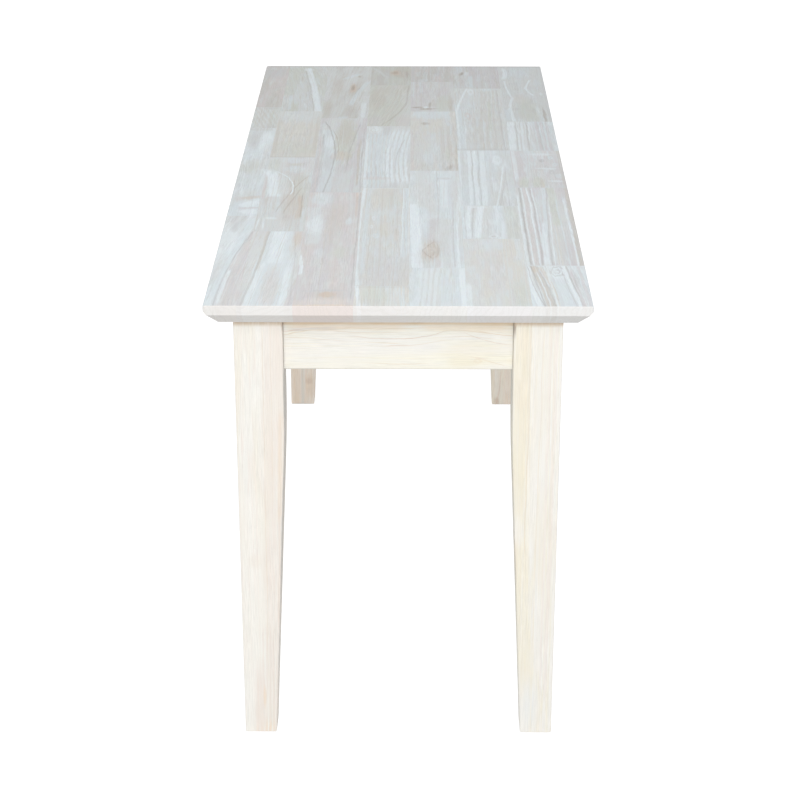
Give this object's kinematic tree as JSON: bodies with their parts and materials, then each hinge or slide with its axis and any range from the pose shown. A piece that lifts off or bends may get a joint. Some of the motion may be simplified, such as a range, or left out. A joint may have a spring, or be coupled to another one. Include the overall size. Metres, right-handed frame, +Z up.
{
  "type": "shaker bench",
  "caption": "Low backless wooden bench: a flat glued seat with a bevelled underside on an apron frame and square tapered legs.",
  "frame": {"origin": "on the floor, under the middle of the seat", "axes": "+X along the bench, +Y across it from the front edge to the back edge, +Z up"},
  "size_m": [0.914, 0.356, 0.457],
  "materials": {
    "seat_wood": "sanded, unfinished, pale grey beige",
    "leg_wood": "sanded, unfinished, pale cream",
    "apron_wood": "sanded, unfinished, pale cream",
    "block_wood": "sawn, unfinished",
    "fixing_steel": "zinc plated"
  },
  "bodies": {
    "root": {"apron_back": "apron_wood", "apron_front": "apron_wood", "apron_left": "apron_wood", "apron_right": "apron_wood", "bolt_nuts": "fixing_steel", "bolt_washers": "fixing_steel", "corner_block_back_left": "block_wood", "corner_block_back_right": "block_wood", "corner_block_front_left": "block_wood", "corner_block_front_right": "block_wood", "hanger_bolts": "fixing_steel", "leg_back_left": "leg_wood", "leg_back_right": "leg_wood", "leg_front_left": "leg_wood", "leg_front_right": "leg_wood", "seat_screws": "fixing_steel", "seat_stave_1a": "seat_wood", "seat_stave_1b": "seat_wood", "seat_stave_1c": "seat_wood", "seat_stave_1d": "seat_wood", "seat_stave_2a": "seat_wood", "seat_stave_2b": "seat_wood", "seat_stave_2c": "seat_wood", "seat_stave_2d": "seat_wood", "seat_stave_3a": "seat_wood", "seat_stave_3b": "seat_wood", "seat_stave_3c": "seat_wood", "seat_stave_4a": "seat_wood", "seat_stave_4b": "seat_wood", "seat_stave_4c": "seat_wood", "seat_stave_4d": "seat_wood", "seat_stave_4e": "seat_wood", "seat_stave_5a": "seat_wood", "seat_stave_5b": "seat_wood", "seat_stave_5c": "seat_wood", "seat_stave_5d": "seat_wood", "seat_stave_5e": "seat_wood", "seat_stave_6a": "seat_wood", "seat_stave_6b": "seat_wood", "seat_stave_6c": "seat_wood", "seat_stave_6d": "seat_wood", "seat_stave_6e": "seat_wood", "seat_stave_7a": "seat_wood", "seat_stave_7b": "seat_wood", "seat_stave_7c": "seat_wood", "seat_stave_7d": "seat_wood", "seat_stave_7e": "seat_wood"}
  },
  "joints": []
}
